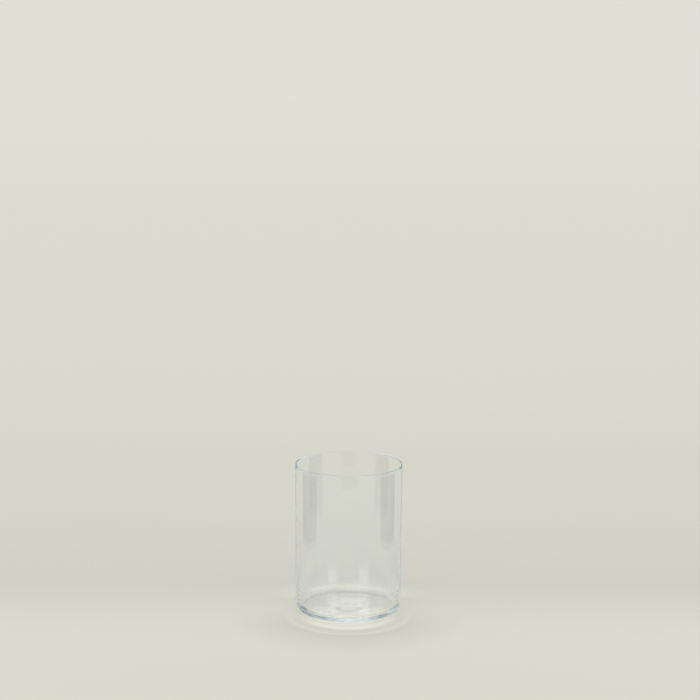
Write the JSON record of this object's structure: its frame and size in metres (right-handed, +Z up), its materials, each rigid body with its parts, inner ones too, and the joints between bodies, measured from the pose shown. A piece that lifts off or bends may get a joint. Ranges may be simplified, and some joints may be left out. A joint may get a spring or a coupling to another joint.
{
  "type": "juice glass",
  "caption": "Straight-sided clear juice glass with a thin wall, a rounded rim and a thicker base with a rounded heel.",
  "frame": {"origin": "on the glass's axis, on the table that it stands on", "axes": "+Z up along the axis of the glass, from the base to the rim; X and Y lie on the table"},
  "size_m": [0.0622, 0.0622, 0.087],
  "materials": {
    "glass": "clear, fire-polished, smooth"
  },
  "bodies": {
    "root": {"tumbler": "glass"}
  },
  "joints": []
}
